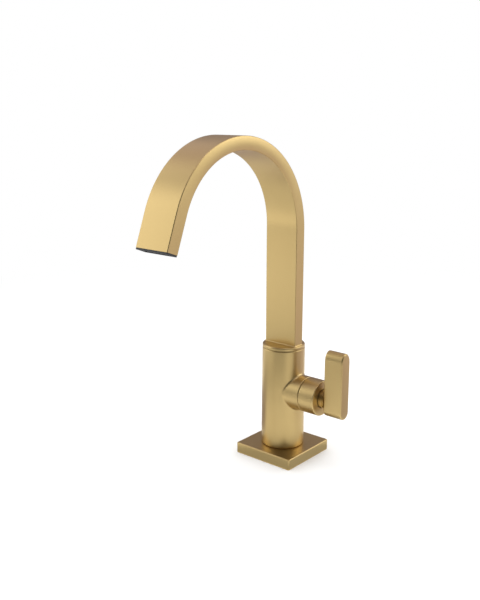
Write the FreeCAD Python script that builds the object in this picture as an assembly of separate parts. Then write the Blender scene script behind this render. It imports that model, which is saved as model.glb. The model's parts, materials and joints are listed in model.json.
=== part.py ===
import FreeCAD
import Part

import math
import os

# Single-hole basin mixer: a flat gooseneck spout swivels on a round body, and a side lever turns
# a progressive ceramic cartridge. Millimetres, +Z up, the lever's axis along +X, the spout to -Y.
# The origin is on the counter, on the body's axis.

# Fits and gaps shared by several pieces
running_clearance = 0.05
slip_clearance = 0.1
thread_clearance = 0.05
face_gap = 0.05
seal_clearance = 0.03

# Square base plate
plate_side = 55.0
plate_thickness = 9.0
plate_corner_round = 1.5
plate_edge_round = 0.9
plate_foot_round = 0.5

# Rubber ring in the plate's underside
deck_seal_depth = 1.5
deck_seal_width = 4.5
deck_seal_margin = 3.0

# Round body with its shank in the plate
body_bottom_radius = 17.7
body_top_radius = 17.35
body_height = 83.8
body_bottom_round = 1.3
body_top_round = 0.8
plate_ledge = 2.3
shank_wall = 1.9
shank_recess = 1.6

# Plug in the shank, with the inlets and the fixing stud's hole
foot_recess = 0.8
foot_height = 15.2
foot_wall = 1.45
inlet_radius = 4.5
inlet_depth = 9.8
inlet_angle = 56.0
stud_radius = 3.4
stud_depth = 13.0
foot_ring_thickness = 1.8
foot_ring_inset = 4.0
inlet_ring_thickness = 1.4
inlet_ring_margin = 0.4

# Water ways in the casting
passage_radius = 2.2
riser_step = 0.2
outlet_passage_offset = 7.6

# Side branch for the valve
valve_drop = 36.0
branch_radius = 14.35
branch_wall = 3.05
branch_reach = 25.0
branch_fillet = 2.0
branch_edge_round = 0.5

# Cartridge in the branch
cartridge_wall = 1.3
cartridge_base_thickness = 3.6
cartridge_cap_thickness = 3.0
cartridge_neck_gap = 0.5
cartridge_neck_length = 7.0
port_ring_thickness = 1.2
port_ring_squeeze = 0.4
disc_thickness = 3.5
disc_rim = 1.2
disc_rim_gap = 0.3
moving_disc_gap = 0.5
port_angles = {"cold": 180.0, "hot": 0.0}
pocket_depth = 2.0
pocket_arms = {"cold": (110.0, 36.0), "hot": (270.0, 24.0)}
driver_thickness = 3.0
driver_gap = 0.3
driver_peg_radius = 1.2
driver_peg_length = 1.5
stop_rib = 1.1
stop_lug_angle = 200.0
stop_lug_width = 36.0
stop_slack = 1.0
lever_turn = 100.0

# Stem of the cartridge
stem_radius = 4.0
stem_flange_radius = 6.8
stem_flange_thickness = 2.0
stem_square = 6.6
stem_square_inset = 0.4
stem_ring_thickness = 1.4
stem_ring_spacing = 3.0
stem_tip_gap = 0.8

# Ring nut and the ring that covers it
nut_thread_length = 3.8
nut_wall = 1.9
nut_bore_step = 0.7
cover_ring_gap = 0.25
cover_ring_length = 14.5
cover_ring_front = 2.6
cover_ring_round = 0.6

# Lever
neck_radius = 7.4
neck_gap = 0.6
neck_show = 4.3
neck_inner_gap = 1.5
neck_groove_width = 0.7
neck_groove_depth = 0.7
tenon_length = 8.0
blade_depth = 16.5
blade_thickness = 11.0
blade_above = 41.3
blade_below = 13.0
blade_wall = 1.0
blade_edge_round = 1.0
lever_screw_radius = 1.5
lever_screw_key = 1.5
lever_screw_bite = 0.8
lever_screw_recess = 0.4

# Spout foot: collar on top, spigot in the body
glide_thickness = 0.25
glide_inset = 1.0
glide_bore_gap = 0.3
collar_inset = 0.05
collar_height = 2.7
collar_round = 1.1
collar_floor = 1.6
spigot_radius = 10.95
spigot_web = 2.5
spigot_floor_gap = 0.8
spigot_wall = 2.75
spigot_ring_thickness = 1.9
spigot_ring_count = 2
spout_swing = 60.0
lock_screw_radius = 2.0
lock_screw_key = 2.0
lock_tip_radius = 1.3
lock_tip_length = 1.2
lock_groove_depth = 1.4
lock_groove_gap = 0.3
lock_drop = 6.0
lock_screw_recess = 0.8

# Flat gooseneck
strip_width = 30.0
strip_thickness = 10.0
strip_wall = 1.2
strip_edge_round = 0.5
strip_inner_round = 0.4
strip_seat = 1.9
riser_height = 95.15
arch_radius = 67.6
arch_turn = 159.25
nose_length = 26.1

# Outlet insert
insert_flange_inset = 0.15
insert_flange_height = 1.3
insert_flange_round = 0.3
insert_length = 12.0
insert_wall = 1.0
insert_ledge = 0.7
grid_recess = 1.2
grid_thickness = 2.0
grid_cell = 1.25
grid_bar = 0.5
screen_gap = 1.0
screen_thickness = 0.8
screen_slot = 0.8
screen_bar = 1.2
insert_seal_width = 1.6
insert_seal_depth = 0.5
insert_seal_inset = 7.0

# Hexagon sockets of the grub screws
key_depth = 1.6

# Plain directions and places
origin = FreeCAD.Vector(0, 0, 0)
right = FreeCAD.Vector(1, 0, 0)
back = FreeCAD.Vector(0, 1, 0)
up = FreeCAD.Vector(0, 0, 1)
full_turn = 360.0
half_turn = 180.0
hexagon_sides = 6
edge_samples = 5
match = 0.01

# Heights above the counter
body_top = plate_thickness + body_height
valve_height = body_top - valve_drop
collar_bottom = body_top + glide_thickness + face_gap
collar_top = collar_bottom + collar_height
lock_height = body_top - lock_drop
foot_top = foot_recess + foot_height
strip_bottom = collar_top - strip_seat
strip_inner_width = strip_width - 2 * strip_wall
strip_inner_thickness = strip_thickness - 2 * strip_wall
arch_height = collar_top + riser_height

# Radii in the foot, from the body's outside inwards
shank_radius = body_bottom_radius - plate_ledge
plate_hole_radius = shank_radius + slip_clearance
foot_bore_radius = shank_radius - shank_wall
foot_radius = foot_bore_radius - thread_clearance
inlet_circle = foot_radius - foot_wall - inlet_radius
stud_circle = foot_radius - foot_wall - stud_radius
inlet_seal_radius = passage_radius + inlet_ring_margin + inlet_ring_thickness / 2
riser_radius = passage_radius - riser_step

# Radii in the branch, from its outside inwards
cartridge_bore_radius = branch_radius - branch_wall
cartridge_radius = cartridge_bore_radius - slip_clearance
housing_bore_radius = cartridge_radius - cartridge_wall
stop_radius = housing_bore_radius - stop_rib
fixed_disc_radius = housing_bore_radius - disc_rim_gap
port_circle = fixed_disc_radius - disc_rim - passage_radius
port_seal_radius = passage_radius + seal_clearance + port_ring_thickness / 2

# Radii round the stem, from the stem outwards
stem_bore_radius = stem_radius + running_clearance
cover_hole_radius = neck_radius + neck_gap
nut_bore_radius = cover_hole_radius + nut_bore_step
nut_neck_radius = nut_bore_radius + nut_wall
cartridge_neck_radius = nut_bore_radius - cartridge_neck_gap
tenon_radius = blade_thickness / 2 - blade_wall

# Distances along the lever's axis, from the branch's mouth inwards
cap_end = branch_reach - nut_thread_length
cap_start = cap_end - cartridge_cap_thickness
journal_start = cap_start - face_gap
flange_start = journal_start - stem_flange_thickness
driver_start = flange_start - driver_thickness
moving_disc_start = driver_start - disc_thickness
fixed_disc_start = moving_disc_start - face_gap - disc_thickness
base_start = fixed_disc_start - cartridge_base_thickness
cartridge_seat = base_start - port_ring_squeeze

# Distances along the lever's axis, from the branch's mouth outwards
housing_end = cap_end + cartridge_neck_length
cover_ring_start = branch_reach + cover_ring_gap
cover_ring_end = cover_ring_start + cover_ring_length
nut_end = cover_ring_end - cover_ring_front - face_gap
neck_start = housing_end + neck_inner_gap
blade_start = cover_ring_end + neck_show
stem_end = blade_start - stem_tip_gap
lever_screw_place = cover_ring_end + (neck_show - neck_groove_width) / 2

# Spigot between the cartridge's bore and the collar
spigot_bore_radius = spigot_radius + running_clearance
spigot_bore_floor = valve_height + cartridge_bore_radius + spigot_web
spigot_bottom = spigot_bore_floor + spigot_floor_gap
spigot_inner_radius = spigot_radius - spigot_wall
spigot_inner_top = strip_bottom - collar_floor
collar_radius = body_top_radius - collar_inset

# Frames: the lever's axis carries local Z along +X and local X along +Y, the outlet faces along the nose
valve_frame = FreeCAD.Placement(up * valve_height, FreeCAD.Rotation(right + back + up, full_turn / 3))
arch_centre = FreeCAD.Vector(0, -arch_radius, arch_height)
nose_turn = FreeCAD.Rotation(right, arch_turn)
nose_direction = nose_turn.multVec(up)
nose_start = arch_centre + nose_turn.multVec(back * arch_radius)
nose_end = nose_start + nose_direction * nose_length
nose_frame = FreeCAD.Placement(nose_end, nose_turn)


def outward(solid):
    """The same solid with its faces pointing outwards."""
    if solid.Volume < 0:
        solid.reverse()
    return solid


def turned(outline):
    """A piece turned about Z from the (radius, height) corners of its half section."""
    corners = [FreeCAD.Vector(radius, 0, height) for radius, height in outline]
    section = Part.Face(Part.makePolygon(corners + corners[:1]))
    return outward(section.revolve(origin, up, full_turn))


def ring(outer_radius, inner_radius, bottom, top):
    """A flat ring about Z."""
    corners = [(inner_radius, bottom), (outer_radius, bottom), (outer_radius, top), (inner_radius, top)]
    return turned(corners)


def rod(radius, start, end):
    """A round rod from one point to another."""
    line = end - start
    return Part.makeCylinder(radius, line.Length, start, line)


def sector(radius, bottom, top, first_angle, spread):
    """A pie slice about Z, counted from +X towards +Y."""
    slice_solid = Part.makeCylinder(radius, top - bottom, up * bottom, up, spread)
    slice_solid.rotate(origin, up, first_angle)
    return slice_solid


def polar(radius, angle, height):
    """A point at a radius and an angle about Z."""
    turn = math.radians(angle)
    return FreeCAD.Vector(radius * math.cos(turn), radius * math.sin(turn), height)


def rounded_rectangle(width, depth, corner, height=0.0):
    """A closed outline in the XY plane, centred, with round corners."""
    half_width = width / 2
    half_depth = depth / 2
    quarter = half_turn / 2
    centres = [
        (half_width - corner, half_depth - corner),
        (corner - half_width, half_depth - corner),
        (corner - half_width, corner - half_depth),
        (half_width - corner, corner - half_depth),
    ]
    arcs = []
    for index, (x, y) in enumerate(centres):
        centre = FreeCAD.Vector(x, y, height)
        arcs.append(arc_about(centre, corner, quarter * index, quarter))
    return joined(arcs)


def arc_about(centre, radius, first_angle, spread):
    """An arc in a level plane, about its centre."""
    start, middle, end = (centre + polar(radius, first_angle + spread * half / 2, 0) for half in range(3))
    return Part.Arc(start, middle, end).toShape()


def joined(arcs):
    """A closed outline of arcs with straight lines between them."""
    edges = []
    for index, arc in enumerate(arcs):
        following = arcs[(index + 1) % len(arcs)]
        edges.append(arc)
        edges.append(Part.makeLine(arc.lastVertex().Point, following.firstVertex().Point))
    return Part.Wire(edges)


def slab(width, depth, corner, bottom, top):
    """A rounded rectangular block about Z."""
    return Part.Face(rounded_rectangle(width, depth, corner, bottom)).extrude(up * (top - bottom))


def softened(solid, amount, belongs):
    """The solid with the edges that pass the test rounded."""
    return solid.makeFillet(amount, [edge for edge in solid.Edges if belongs(edge)])


def circle_at(radius, height):
    """A test for the full circle of that radius at that height about Z."""

    def belongs(edge):
        round_edge = isinstance(edge.Curve, Part.Circle)
        return (
            round_edge
            and abs(edge.Curve.Radius - radius) < match
            and abs(edge.Curve.Center.z - height) < match
        )

    return belongs


def level_at(height):
    """A test for edges that lie wholly at one height."""

    def belongs(edge):
        box = edge.BoundBox
        return abs(box.ZMin - height) < match and abs(box.ZMax - height) < match

    return belongs


def placed(solid, frame):
    """The solid moved from its own frame into the part's."""
    solid.Placement = frame.multiply(solid.Placement)
    return solid


def o_rings(centre_radius, thickness, places):
    """Round rubber rings that lie level, one at each place."""
    return Part.makeCompound([Part.makeTorus(centre_radius, thickness / 2, place) for place in places])


def hexagon_socket(key, mouth, inward):
    """The key's socket of a grub screw, sunk from its mouth along one direction."""
    corner_radius = key / 2 / math.cos(math.pi / hexagon_sides)
    corners = [polar(corner_radius, full_turn * side / hexagon_sides, 0) for side in range(hexagon_sides)]
    prism = Part.Face(Part.makePolygon(corners + corners[:1])).extrude(up * key_depth)
    prism.Placement = FreeCAD.Placement(mouth, FreeCAD.Rotation(up, inward))
    return prism


def inlet_places(height):
    """Where the two supplies rise behind the body's axis: cold first, then hot."""
    return [polar(inlet_circle, half_turn + side * inlet_angle, height) for side in (1, -1)]


# Base plate and its seal
def base_plate():
    """Square plate with a hole for the shank and a channel for the seal."""
    plate = slab(plate_side, plate_side, plate_corner_round, 0, plate_thickness)
    plate = softened(plate, plate_edge_round, level_at(plate_thickness))
    plate = softened(plate, plate_foot_round, level_at(0))
    plate = plate.cut(Part.makeCylinder(plate_hole_radius, plate_thickness))
    return plate.cut(square_ring(slip_clearance))


def square_ring(extra):
    """The seal's square ring, or its channel where extra room is given."""
    outer = plate_side - 2 * deck_seal_margin + 2 * extra
    inner = plate_side - 2 * deck_seal_margin - 2 * deck_seal_width - 2 * extra
    block = slab(outer, outer, plate_corner_round + extra, 0, deck_seal_depth)
    return block.cut(slab(inner, inner, plate_corner_round, 0, deck_seal_depth))


def deck_seal():
    """Rubber ring, flush with the plate's underside."""
    return square_ring(0)


# Body, from the shank up to the spout's bore
def on_branch_root(edge):
    """Whether an edge is part of the line where the branch leaves the round body."""
    for point in edge.discretize(Number=edge_samples):
        off_branch = abs(math.hypot(point.y, point.z - valve_height) - branch_radius)
        off_axis = math.hypot(point.x, point.y)
        if off_branch > match or off_axis > body_bottom_radius + match:
            return False
    return True


def water_way(place, top, port):
    """A drilling that rises from a place, and a wider cross drilling from it to a port."""
    riser = rod(riser_radius, place, FreeCAD.Vector(place.x, place.y, top))
    end = FreeCAD.Vector(place.x - passage_radius, port.y, port.z)
    return [riser, rod(passage_radius, end, port)]


def water_ways():
    """Drillings from the foot to the cartridge, and from there to the spigot's bore."""
    cuts = []
    for place, side in zip(inlet_places(foot_top), (-1, 1)):
        port = FreeCAD.Vector(cartridge_seat, side * port_circle, valve_height)
        cuts += water_way(place, valve_height, port)
    outlet = FreeCAD.Vector(-outlet_passage_offset, 0, valve_height)
    port = FreeCAD.Vector(cartridge_seat, 0, valve_height)
    return cuts + water_way(outlet, spigot_bore_floor, port)


def body():
    """Tapered casting with a shank below, a side branch and bores for foot, cartridge and spigot."""
    casting = turned(
        [
            (0, shank_recess),
            (shank_radius, shank_recess),
            (shank_radius, plate_thickness),
            (body_bottom_radius, plate_thickness),
            (body_top_radius, body_top),
            (0, body_top),
        ]
    )
    branch = placed(Part.makeCylinder(branch_radius, branch_reach), valve_frame)
    casting = softened(casting.fuse(branch), branch_fillet, on_branch_root)
    casting = softened(casting, body_bottom_round, circle_at(body_bottom_radius, plate_thickness))
    casting = softened(casting, body_top_round, circle_at(body_top_radius, body_top))
    casting = softened(casting, branch_edge_round, at_branch_mouth)
    lock_place = up * lock_height
    cuts = [
        Part.makeCylinder(foot_bore_radius, foot_top),
        placed(Part.makeCylinder(cartridge_bore_radius, branch_reach, up * cartridge_seat), valve_frame),
        Part.makeCylinder(spigot_bore_radius, body_top, up * spigot_bore_floor),
        rod(lock_screw_radius + thread_clearance, lock_place, lock_place + back * body_bottom_radius),
    ]
    return casting.cut(cuts + water_ways())


def at_branch_mouth(edge):
    """Whether an edge lies in the plane of the branch's mouth."""
    box = edge.BoundBox
    return abs(box.XMin - branch_reach) < match and abs(box.XMax - branch_reach) < match


def spout_lock_screw():
    """Grub screw from the back, with a dog point in the spigot's groove."""
    mouth = up * lock_height + back * (body_top_radius - lock_screw_recess)
    tip = up * lock_height + back * (spigot_radius - lock_tip_length)
    shoulder = up * lock_height + back * (spigot_bore_radius + lock_groove_gap)
    screw = rod(lock_screw_radius, shoulder, mouth).fuse(rod(lock_tip_radius, tip, shoulder))
    return screw.cut(hexagon_socket(lock_screw_key, mouth, -back))


# Plug with the inlets
def inlet_foot():
    """Brass plug: two threaded inlets that narrow to the water ways, a stud hole and seal grooves."""
    groove_height = foot_top - foot_ring_inset
    groove_half = foot_ring_thickness / 2 + seal_clearance
    groove_radius = foot_bore_radius - foot_ring_thickness - 2 * seal_clearance
    plug = turned(
        [
            (0, foot_recess),
            (foot_radius, foot_recess),
            (foot_radius, groove_height - groove_half),
            (groove_radius, groove_height - groove_half),
            (groove_radius, groove_height + groove_half),
            (foot_radius, groove_height + groove_half),
            (foot_radius, foot_top),
            (0, foot_top),
        ]
    )
    cuts = [Part.makeCylinder(stud_radius, stud_depth, right * stud_circle + up * foot_recess)]
    seat_radius = inlet_seal_radius + inlet_ring_thickness / 2 + seal_clearance
    seat_depth = inlet_ring_thickness + seal_clearance
    for place in inlet_places(foot_recess):
        seat = FreeCAD.Vector(place.x, place.y, foot_top)
        cuts.append(Part.makeCylinder(inlet_radius, inlet_depth, place))
        cuts.append(rod(passage_radius, place, seat))
        cuts.append(rod(seat_radius, seat - up * seat_depth, seat))
    return plug.cut(cuts)


def inlet_seals():
    """One ring round each water way, between the plug and the casting."""
    height = foot_top - inlet_ring_thickness / 2 - seal_clearance / 2
    return o_rings(inlet_seal_radius, inlet_ring_thickness, inlet_places(height))


def foot_o_ring():
    """Ring round the plug."""
    centre_radius = foot_bore_radius - foot_ring_thickness / 2 - seal_clearance
    return o_rings(centre_radius, foot_ring_thickness, [up * (foot_top - foot_ring_inset)])


# Cartridge, built along local Z and then laid along the lever's axis
def port_places(height):
    """Cold and hot ports beside the axis, with the outlet's port on it."""
    return [polar(port_circle, angle, height) for angle in port_angles.values()] + [up * height]


def ported(disc, bottom, top):
    """A disc with the three ports cut through."""
    depth = up * (top - bottom)
    return disc.cut([rod(passage_radius, place, place + depth) for place in port_places(bottom)])


def cartridge_base():
    """Bottom disc of the cartridge, with a seat for each port's seal."""
    disc = disc_about_z(cartridge_radius, base_start, fixed_disc_start)
    disc = ported(disc, base_start, fixed_disc_start)
    seat_radius = port_seal_radius + port_ring_thickness / 2 + seal_clearance
    seat_depth = port_ring_thickness - port_ring_squeeze + seal_clearance
    cuts = [rod(seat_radius, place, place + up * seat_depth) for place in port_places(base_start)]
    return placed(disc.cut(cuts), valve_frame)


def disc_about_z(radius, bottom, top):
    """A plain disc about Z."""
    return Part.makeCylinder(radius, top - bottom, up * bottom)


def port_seals():
    """Three rings between the cartridge and its seat in the casting."""
    height = cartridge_seat + port_ring_thickness / 2
    return placed(o_rings(port_seal_radius, port_ring_thickness, port_places(height)), valve_frame)


def fixed_ceramic_disc():
    """Lower disc, held in the housing."""
    top = fixed_disc_start + disc_thickness
    disc = disc_about_z(fixed_disc_radius, fixed_disc_start, top)
    return placed(ported(disc, fixed_disc_start, top), valve_frame)


def moving_ceramic_disc():
    """Upper disc: its pocket joins the outlet to cold first, then to both, then to hot."""
    disc = disc_about_z(housing_bore_radius - moving_disc_gap, moving_disc_start, driver_start)
    pocket_top = moving_disc_start + pocket_depth
    reach = port_circle + passage_radius
    cuts = [sector(reach, moving_disc_start, pocket_top, *arm) for arm in pocket_arms.values()]
    cuts.append(disc_about_z(passage_radius, moving_disc_start, pocket_top))
    peg_room = driver_peg_length + face_gap
    for place in peg_places(driver_start - peg_room):
        cuts.append(rod(driver_peg_radius + slip_clearance, place, place + up * peg_room))
    return placed(disc.cut(cuts), valve_frame)


def peg_places(height):
    """Where the driver's two pegs enter the moving disc."""
    return [polar(port_circle, stop_lug_angle + turn, height) for turn in (0, half_turn)]


def square_prism(side, bottom, top):
    """A square bar about Z."""
    return Part.makeBox(side, side, top - bottom, FreeCAD.Vector(-side / 2, -side / 2, bottom))


def disc_driver():
    """Carrier that turns the moving disc, with the lug that meets the housing's stops."""
    carrier = disc_about_z(stop_radius - driver_gap, driver_start, flange_start)
    lug = sector(
        housing_bore_radius - driver_gap,
        driver_start,
        flange_start,
        stop_lug_angle - stop_lug_width / 2,
        stop_lug_width,
    )
    pegs = [
        rod(driver_peg_radius, place, place + up * (driver_peg_length + driver_thickness / 2))
        for place in peg_places(driver_start - driver_peg_length)
    ]
    carrier = carrier.fuse([lug] + pegs)
    socket = square_prism(stem_square + 2 * slip_clearance, driver_start, flange_start)
    return placed(carrier.cut(socket), valve_frame)


def cartridge_housing():
    """Barrel with a stepped bore: room for the discs, a window for the stop lug, the stem's journal."""
    barrel = turned(
        [
            (housing_bore_radius, fixed_disc_start),
            (cartridge_radius, fixed_disc_start),
            (cartridge_radius, cap_end),
            (cartridge_neck_radius, cap_end),
            (cartridge_neck_radius, housing_end),
            (stem_bore_radius, housing_end),
            (stem_bore_radius, cap_start),
            (stop_radius, cap_start),
            (stop_radius, driver_start),
            (housing_bore_radius, driver_start),
        ]
    )
    window = sector(
        housing_bore_radius,
        driver_start,
        cap_start,
        stop_lug_angle - stop_lug_width / 2 - stop_slack,
        stop_lug_width + lever_turn + 2 * stop_slack,
    )
    return placed(barrel.cut(window), valve_frame)


def stem_ring_heights():
    """Where the stem's two seals lie inside the journal."""
    middle = (cap_start + housing_end) / 2
    return [middle + side * stem_ring_spacing / 2 for side in (-1, 1)]


def cartridge_spindle():
    """Stem: square end in the driver, flange under the cap, two seal grooves, a flat for the screw."""
    groove_half = stem_ring_thickness / 2 + seal_clearance
    groove_radius = stem_bore_radius - stem_ring_thickness - 2 * seal_clearance
    outline = [
        (0, flange_start),
        (stem_flange_radius, flange_start),
        (stem_flange_radius, journal_start),
        (stem_radius, journal_start),
    ]
    for height in stem_ring_heights():
        outline.append((stem_radius, height - groove_half))
        outline.append((groove_radius, height - groove_half))
        outline.append((groove_radius, height + groove_half))
        outline.append((stem_radius, height + groove_half))
    stem = turned(outline + [(stem_radius, stem_end), (0, stem_end)])
    stem = stem.fuse(square_prism(stem_square, driver_start + stem_square_inset, flange_start))
    flat_depth = stem_radius - lever_screw_bite
    flat = Part.makeBox(
        2 * stem_radius,
        stem_radius,
        stem_end - neck_start,
        FreeCAD.Vector(-stem_radius, -stem_radius - flat_depth, neck_start),
    )
    return placed(stem.cut(flat), valve_frame)


def spindle_o_rings():
    """Two seals on the stem."""
    centre_radius = stem_bore_radius - stem_ring_thickness / 2 - seal_clearance
    places = [up * height for height in stem_ring_heights()]
    return placed(o_rings(centre_radius, stem_ring_thickness, places), valve_frame)


def cartridge_nut():
    """Ring nut in the branch's mouth, with a threaded neck for the cover ring."""
    thread_radius = cartridge_bore_radius - thread_clearance
    thread_end = cap_end + nut_thread_length
    nut = turned(
        [
            (nut_bore_radius, cap_end),
            (thread_radius, cap_end),
            (thread_radius, thread_end),
            (nut_neck_radius, thread_end),
            (nut_neck_radius, nut_end),
            (nut_bore_radius, nut_end),
        ]
    )
    return placed(nut, valve_frame)


def cover_ring():
    """Round cap over the nut, with a hole for the lever's neck."""
    inner_radius = nut_neck_radius + slip_clearance
    front = cover_ring_end - cover_ring_front
    cap = turned(
        [
            (inner_radius, cover_ring_start),
            (branch_radius, cover_ring_start),
            (branch_radius, cover_ring_end),
            (cover_hole_radius, cover_ring_end),
            (cover_hole_radius, front),
            (inner_radius, front),
        ]
    )
    cap = softened(cap, cover_ring_round, circle_at(branch_radius, cover_ring_end))
    cap = softened(cap, cover_ring_round, circle_at(branch_radius, cover_ring_start))
    return placed(cap, valve_frame)


# Lever
def handle_neck():
    """Round neck on the stem, with a narrow groove and a tenon in the blade."""
    groove_start = blade_start - neck_groove_width
    groove_radius = neck_radius - neck_groove_depth
    bore_radius = stem_radius + slip_clearance
    neck = turned(
        [
            (bore_radius, neck_start),
            (neck_radius, neck_start),
            (neck_radius, groove_start),
            (groove_radius, groove_start),
            (groove_radius, blade_start),
            (tenon_radius, blade_start),
            (tenon_radius, blade_start + tenon_length),
            (0, blade_start + tenon_length),
            (0, stem_end + face_gap),
            (bore_radius, stem_end + face_gap),
        ]
    )
    centre = up * lever_screw_place
    hole = rod(lever_screw_radius + thread_clearance, centre, centre - back * (neck_radius + neck_gap))
    return placed(neck.cut(hole), valve_frame)


def handle_set_screw():
    """Grub screw under the neck, on the stem's flat."""
    centre = up * lever_screw_place
    tip = centre - back * (stem_radius - lever_screw_bite + face_gap)
    mouth = centre - back * (neck_radius - lever_screw_recess)
    screw = rod(lever_screw_radius, tip, mouth)
    return placed(screw.cut(hexagon_socket(lever_screw_key, mouth, back)), valve_frame)


def handle_blade():
    """Flat lever with full-round ends and soft edges, and a socket for the neck's tenon."""
    half = blade_thickness / 2
    top_arc = arc_about(FreeCAD.Vector(0, blade_above - half, blade_start), half, 0, half_turn)
    bottom_arc = arc_about(FreeCAD.Vector(0, half - blade_below, blade_start), half, half_turn, half_turn)
    blade = Part.Face(joined([top_arc, bottom_arc])).extrude(up * blade_depth)
    for face_height in (blade_start, blade_start + blade_depth):
        blade = softened(blade, blade_edge_round, level_at(face_height))
    socket_end = blade_start + tenon_length + face_gap
    socket = rod(tenon_radius + thread_clearance, up * blade_start, up * socket_end)
    return placed(blade.cut(socket), valve_frame)


# Spout
def glide_ring():
    """Thin plastic ring on the body's top, under the collar."""
    inner_radius = spigot_bore_radius + glide_bore_gap
    return ring(body_top_radius - glide_inset, inner_radius, body_top, body_top + glide_thickness)


def spigot_ring_heights():
    """Where the spigot's seals lie, spaced evenly below the swing's groove."""
    room = lock_height - lock_tip_radius - lock_groove_gap - spigot_bottom
    step = room / (spigot_ring_count + 1)
    return [spigot_bottom + step * (number + 1) for number in range(spigot_ring_count)]


def spout_foot():
    """Collar with a pocket for the strip, and a spigot with two seal grooves and the swing's groove."""
    groove_half = spigot_ring_thickness / 2 + seal_clearance
    groove_radius = spigot_bore_radius - spigot_ring_thickness - 2 * seal_clearance
    outline = [(spigot_inner_radius, spigot_bottom), (spigot_radius, spigot_bottom)]
    for height in spigot_ring_heights():
        outline.append((spigot_radius, height - groove_half))
        outline.append((groove_radius, height - groove_half))
        outline.append((groove_radius, height + groove_half))
        outline.append((spigot_radius, height + groove_half))
    outline.append((spigot_radius, collar_bottom))
    outline.append((collar_radius, collar_bottom))
    outline.append((collar_radius, collar_top))
    outline.append((0, collar_top))
    outline.append((0, spigot_inner_top))
    outline.append((spigot_inner_radius, spigot_inner_top))
    foot = softened(turned(outline), collar_round, circle_at(collar_radius, collar_top))
    room = 2 * slip_clearance
    pocket = slab(strip_width + room, strip_thickness + room, strip_edge_round, strip_bottom, collar_top)
    mouth = disc_about_z(spigot_inner_radius, spigot_inner_top, strip_bottom)
    mouth = mouth.common(slab(strip_inner_width, strip_inner_thickness, strip_inner_round, 0, collar_top))
    return foot.cut([pocket, mouth, swing_groove()])


def swing_groove():
    """Part ring round the spigot's back, as long as the swing allows."""
    floor_radius = spigot_radius - lock_groove_depth
    half_height = lock_tip_radius + lock_groove_gap
    half_spread = spout_swing + math.degrees(half_height / floor_radius)
    first_angle = half_turn / 2 - half_spread
    bottom = lock_height - half_height
    top = lock_height + half_height
    outer = sector(spigot_bore_radius, bottom, top, first_angle, 2 * half_spread)
    return outer.cut(Part.makeCylinder(floor_radius, top - bottom, up * bottom))


def spigot_o_rings():
    """Two seals on the spigot."""
    centre_radius = spigot_bore_radius - spigot_ring_thickness / 2 - seal_clearance
    return o_rings(centre_radius, spigot_ring_thickness, [up * height for height in spigot_ring_heights()])


def spout_path():
    """Centre line of the strip: straight riser, round arch, straight nose."""
    riser_top = up * arch_height
    arch_middle = arch_centre + FreeCAD.Rotation(right, arch_turn / 2).multVec(back * arch_radius)
    riser = Part.makeLine(up * strip_bottom, riser_top)
    arch = Part.Arc(riser_top, arch_middle, nose_start).toShape()
    nose = Part.makeLine(nose_start, nose_end)
    return Part.Wire([riser, arch, nose])


def spout_tube():
    """Hollow flat strip swept along its centre line."""
    path = spout_path()
    outside = rounded_rectangle(strip_width, strip_thickness, strip_edge_round, strip_bottom)
    inside = rounded_rectangle(strip_inner_width, strip_inner_thickness, strip_inner_round, strip_bottom)
    outer, inner = (outward(path.makePipeShell([section], True, False)) for section in (outside, inside))
    return outer.cut(inner)


# Outlet insert, built with local Z along the nose and its zero on the strip's end
insert_width = strip_inner_width - 2 * slip_clearance
insert_thickness = strip_inner_thickness - 2 * slip_clearance
window_width = insert_width - 2 * insert_wall
window_thickness = insert_thickness - 2 * insert_wall
grid_top = insert_flange_height - grid_recess
grid_bottom = grid_top - grid_thickness
screen_top = grid_bottom - screen_gap
screen_bottom = screen_top - screen_thickness


def seal_channel(extra):
    """The band seal's rounded ring, or its channel where extra room is given."""
    bottom = -insert_seal_inset - insert_seal_width / 2 - extra
    top = -insert_seal_inset + insert_seal_width / 2 + extra
    reach = slip_clearance - seal_clearance
    block = slab(insert_width + 2 * reach, insert_thickness + 2 * reach, strip_inner_round, bottom, top)
    core_width = insert_width - 2 * (insert_seal_depth + extra)
    core_thickness = insert_thickness - 2 * (insert_seal_depth + extra)
    return block.cut(slab(core_width, core_thickness, strip_inner_round, bottom, top))


def aerator_housing():
    """Black sleeve with a flange over the strip's end and a ledge behind the grid."""
    sleeve = slab(insert_width, insert_thickness, strip_inner_round, -insert_length, 0)
    flange = slab(
        strip_width - 2 * insert_flange_inset,
        strip_thickness - 2 * insert_flange_inset,
        strip_edge_round,
        0,
        insert_flange_height,
    )
    flange = softened(flange, insert_flange_round, level_at(insert_flange_height))
    shell = sleeve.fuse(flange)
    window = slab(window_width, window_thickness, strip_inner_round, screen_bottom, insert_flange_height)
    inlet = slab(
        window_width - 2 * insert_ledge,
        window_thickness - 2 * insert_ledge,
        strip_inner_round,
        -insert_length,
        screen_bottom,
    )
    return placed(shell.cut([window, inlet, seal_channel(seal_clearance)]), nose_frame)


def repeated(length, opening, bar):
    """Centres of as many openings as fit along a length, with a bar between neighbours."""
    count = int((length - bar) // (opening + bar))
    first = -(count - 1) * (opening + bar) / 2
    return [first + index * (opening + bar) for index in range(count)]


def aerator_grid():
    """Plate of small square cells across the outlet."""
    width = window_width - 2 * slip_clearance
    thickness = window_thickness - 2 * slip_clearance
    plate = slab(width, thickness, strip_inner_round, grid_bottom, grid_top)
    cell = Part.makeBox(grid_cell, grid_cell, grid_thickness)
    cells = [
        cell.translated(FreeCAD.Vector(x - grid_cell / 2, y - grid_cell / 2, grid_bottom))
        for x in repeated(width, grid_cell, grid_bar)
        for y in repeated(thickness, grid_cell, grid_bar)
    ]
    return placed(plate.cut(cells), nose_frame)


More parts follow.
